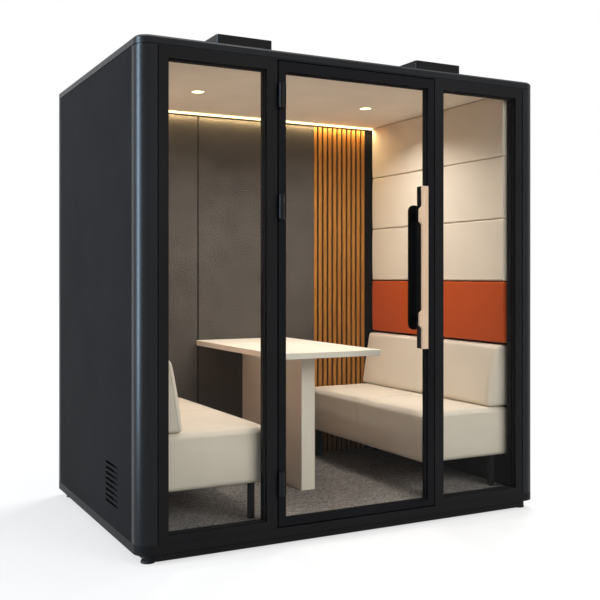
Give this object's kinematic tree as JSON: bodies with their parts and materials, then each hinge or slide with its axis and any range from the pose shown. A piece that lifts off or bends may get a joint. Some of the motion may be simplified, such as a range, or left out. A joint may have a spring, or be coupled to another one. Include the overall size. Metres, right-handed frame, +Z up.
{
  "type": "acoustic office pod",
  "caption": "Free-standing acoustic meeting pod: dark rounded shell, glazed front with a hinged glass door, facing upholstered benches, a fixed table and roof fans.",
  "frame": {"origin": "on the floor, under the middle of the whole object's box", "axes": "+X along the glazed front to the right as seen from outside, +Y from the front into the pod, +Z up"},
  "size_m": [2.2, 1.56, 2.3813],
  "materials": {
    "shell_paint": "satin",
    "post_paint": "satin",
    "frame_paint": "satin",
    "black_metal": "satin",
    "black_plastic": "matte",
    "steel": "satin",
    "core_board": "matte",
    "carpet_pile": "matte",
    "plywood": "matte",
    "black_board": "matte",
    "ceiling_board": "matte",
    "felt": "matte",
    "oak": "satin",
    "beech": "satin",
    "cream_cover": "satin",
    "orange_cover": "satin",
    "laminate": "satin",
    "rubber": "matte",
    "lamp": "gloss",
    "glass": "gloss"
  },
  "bodies": {
    "shell": {"base_frame": "frame_paint", "levelling_foot_front_left": "rubber", "levelling_foot_front_right": "rubber", "levelling_foot_rear_left": "rubber", "levelling_foot_rear_right": "rubber", "floor_deck": "plywood", "carpet": "carpet_pile", "corner_post_front_left": "post_paint", "corner_post_front_right": "post_paint", "corner_post_rear_left": "post_paint", "corner_post_rear_right": "post_paint", "rear_panel": "shell_paint", "rear_core": "core_board", "roof_cap": "shell_paint", "ceiling_panel": "ceiling_board", "felt_lining": "felt", "slat_panel": "oak", "led_strip": "lamp", "side_panel_left": "shell_paint", "side_panel_right": "shell_paint", "side_core_left": "core_board", "side_core_right": "core_board", "wall_pad_left": "cream_cover", "wall_pad_right": "cream_cover", "accent_pad_left": "orange_cover", "accent_pad_right": "orange_cover", "window_frame_left": "frame_paint", "window_frame_right": "frame_paint", "window_glass_left": "glass", "window_glass_right": "glass", "bench_frame_left": "black_board", "bench_frame_right": "black_board", "seat_cushion_left": "cream_cover", "seat_cushion_right": "cream_cover", "back_cushion_left": "cream_cover", "back_cushion_right": "cream_cover", "downlight_left": "lamp", "downlight_right": "lamp", "fan_housing_left": "black_metal", "fan_housing_right": "black_metal", "table_top": "laminate", "table_leg": "laminate", "door_surround": "frame_paint", "door_seal": "rubber", "hinge_frame_leaf_top": "black_metal", "hinge_frame_leaf_middle": "black_metal", "hinge_frame_leaf_bottom": "black_metal", "hinge_pin_top": "steel", "hinge_pin_middle": "steel", "hinge_pin_bottom": "steel"},
    "door": {"door_frame": "frame_paint", "door_glass": "glass", "outer_pull_body": "black_metal", "outer_pull_face": "beech", "inner_pull": "black_metal", "hinge_door_leaf_top": "black_metal", "hinge_door_leaf_middle": "black_metal", "hinge_door_leaf_bottom": "black_metal"},
    "fan_left": {"fan_rotor_left": "black_plastic"},
    "fan_right": {"fan_rotor_right": "black_plastic"}
  },
  "joints": [
    {"name": "door_swing", "type": "hinge", "parent": "shell", "child": "door", "pos_m": [-0.428, -0.735, 1.2], "axis": [0, 0, -1], "range_deg": [0, 105]},
    {"name": "fan_spin_left", "type": "hinge", "parent": "shell", "child": "fan_left", "pos_m": [-0.489, -0.325, 2.33], "axis": [0, 0, 1], "continuous": true},
    {"name": "fan_spin_right", "type": "hinge", "parent": "shell", "child": "fan_right", "pos_m": [0.646, -0.325, 2.33], "axis": [0, 0, 1], "continuous": true}
  ]
}
